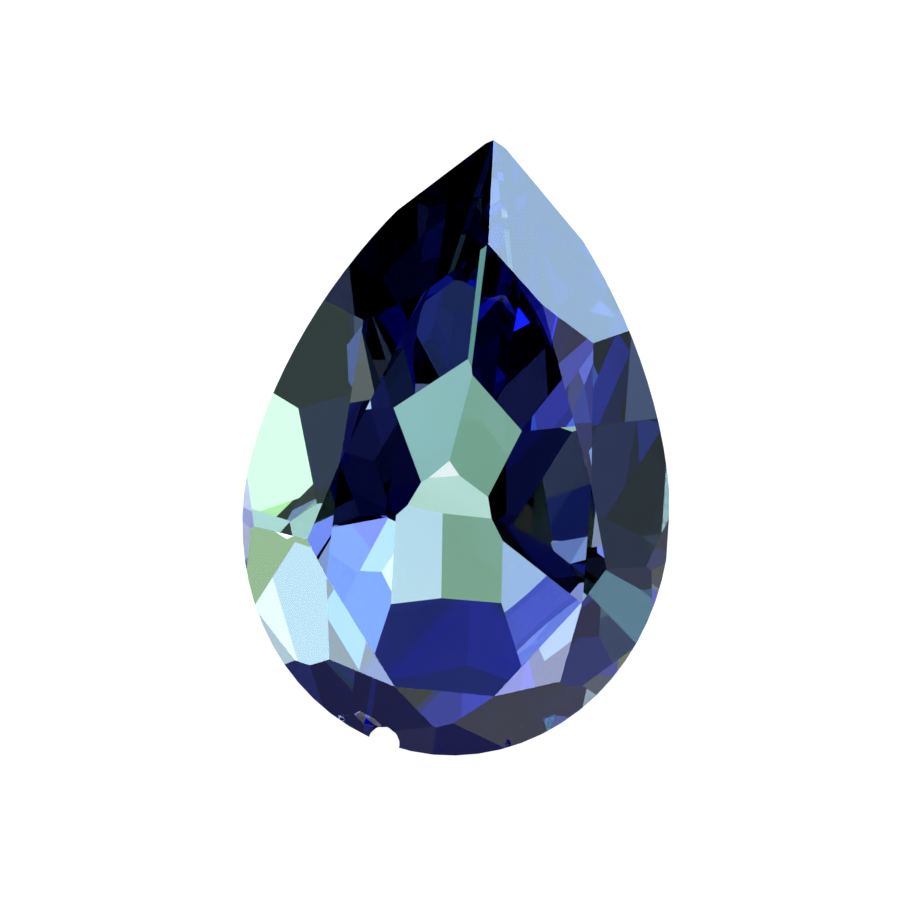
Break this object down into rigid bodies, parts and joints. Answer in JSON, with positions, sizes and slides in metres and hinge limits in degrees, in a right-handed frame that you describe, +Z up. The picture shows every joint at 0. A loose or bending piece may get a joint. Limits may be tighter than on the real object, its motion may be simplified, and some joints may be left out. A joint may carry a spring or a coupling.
{
  "type": "pear cut topaz",
  "caption": "Loose pear cut gemstone with a flat table, faceted crown and pavilion, lying on the facets round its culet with the point raised.",
  "frame": {"origin": "centre of the stone's bounding box in plan, at the level of the surface it lies on", "axes": "+Z up; +Y towards the raised point, which leans back and up; the table leans forward towards -Y; +X to the right seen from the table"},
  "size_m": [0.007, 0.009, 0.0053],
  "materials": {
    "topaz": "clear crystal, coated blue and green, polished flat facets"
  },
  "bodies": {
    "root": {"topaz": "topaz"}
  },
  "joints": []
}
